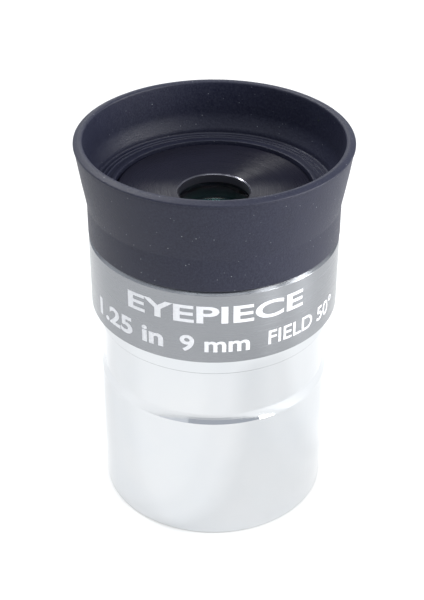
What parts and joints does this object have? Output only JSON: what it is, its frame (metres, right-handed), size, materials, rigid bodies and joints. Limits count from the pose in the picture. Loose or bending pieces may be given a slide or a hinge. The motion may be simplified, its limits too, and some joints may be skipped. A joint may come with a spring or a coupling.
{
  "type": "telescope eyepiece",
  "caption": "Short-focus telescope eyepiece: chromed push-fit barrel, satin label band, black housing with cemented lens doublets, and a flared rubber eyecup that folds down.",
  "frame": {"origin": "centre of the barrel's open end, the face it stands on", "axes": "+Z along the optical axis towards the eye; the front of the label band faces -Y, with +X to its right"},
  "size_m": [0.0366, 0.0366, 0.0546],
  "materials": {
    "barrel_chrome": "bright chrome plate, finely turned",
    "band_metal": "satin grey anodised",
    "black_anodised": "black anodised, satin",
    "eyecup_rubber": "matte moulded rubber",
    "crown_glass": "polished, edges blackened",
    "flint_glass": "polished, green anti-reflection coating"
  },
  "bodies": {
    "barrel": {"barrel": "barrel_chrome"},
    "label_band": {"label_band": "band_metal"},
    "housing": {"housing": "black_anodised", "lens_cell": "black_anodised", "eye_flint": "flint_glass", "eye_crown": "crown_glass", "lens_spacer": "black_anodised", "field_crown": "crown_glass", "field_flint": "flint_glass", "lens_retaining_ring": "black_anodised", "field_stop": "black_anodised", "eyecup_sleeve": "eyecup_rubber", "eyecup_flare": "eyecup_rubber"},
    "eyecup_rim": {"eyecup_rim": "eyecup_rubber"}
  },
  "joints": [
    {"name": "housing_lift", "type": "slide", "parent": "barrel", "child": "label_band", "axis": [0, 0, 1], "range_m": [0, 0.0045]},
    {"name": "housing_turn", "type": "hinge", "parent": "label_band", "child": "housing", "pos_m": [0, 0, 0.03042], "axis": [0, 0, 1], "range_deg": [0, 2160]},
    {"name": "eyecup_fold", "type": "slide", "parent": "housing", "child": "eyecup_rim", "axis": [0, 0, -1], "range_m": [0, 0.0164], "deforming": ["eyecup_flare"]}
  ],
  "couplings": [
    {"joint": "housing_lift", "follows": "housing_turn", "m_per_rad": 0.00011937}
  ]
}
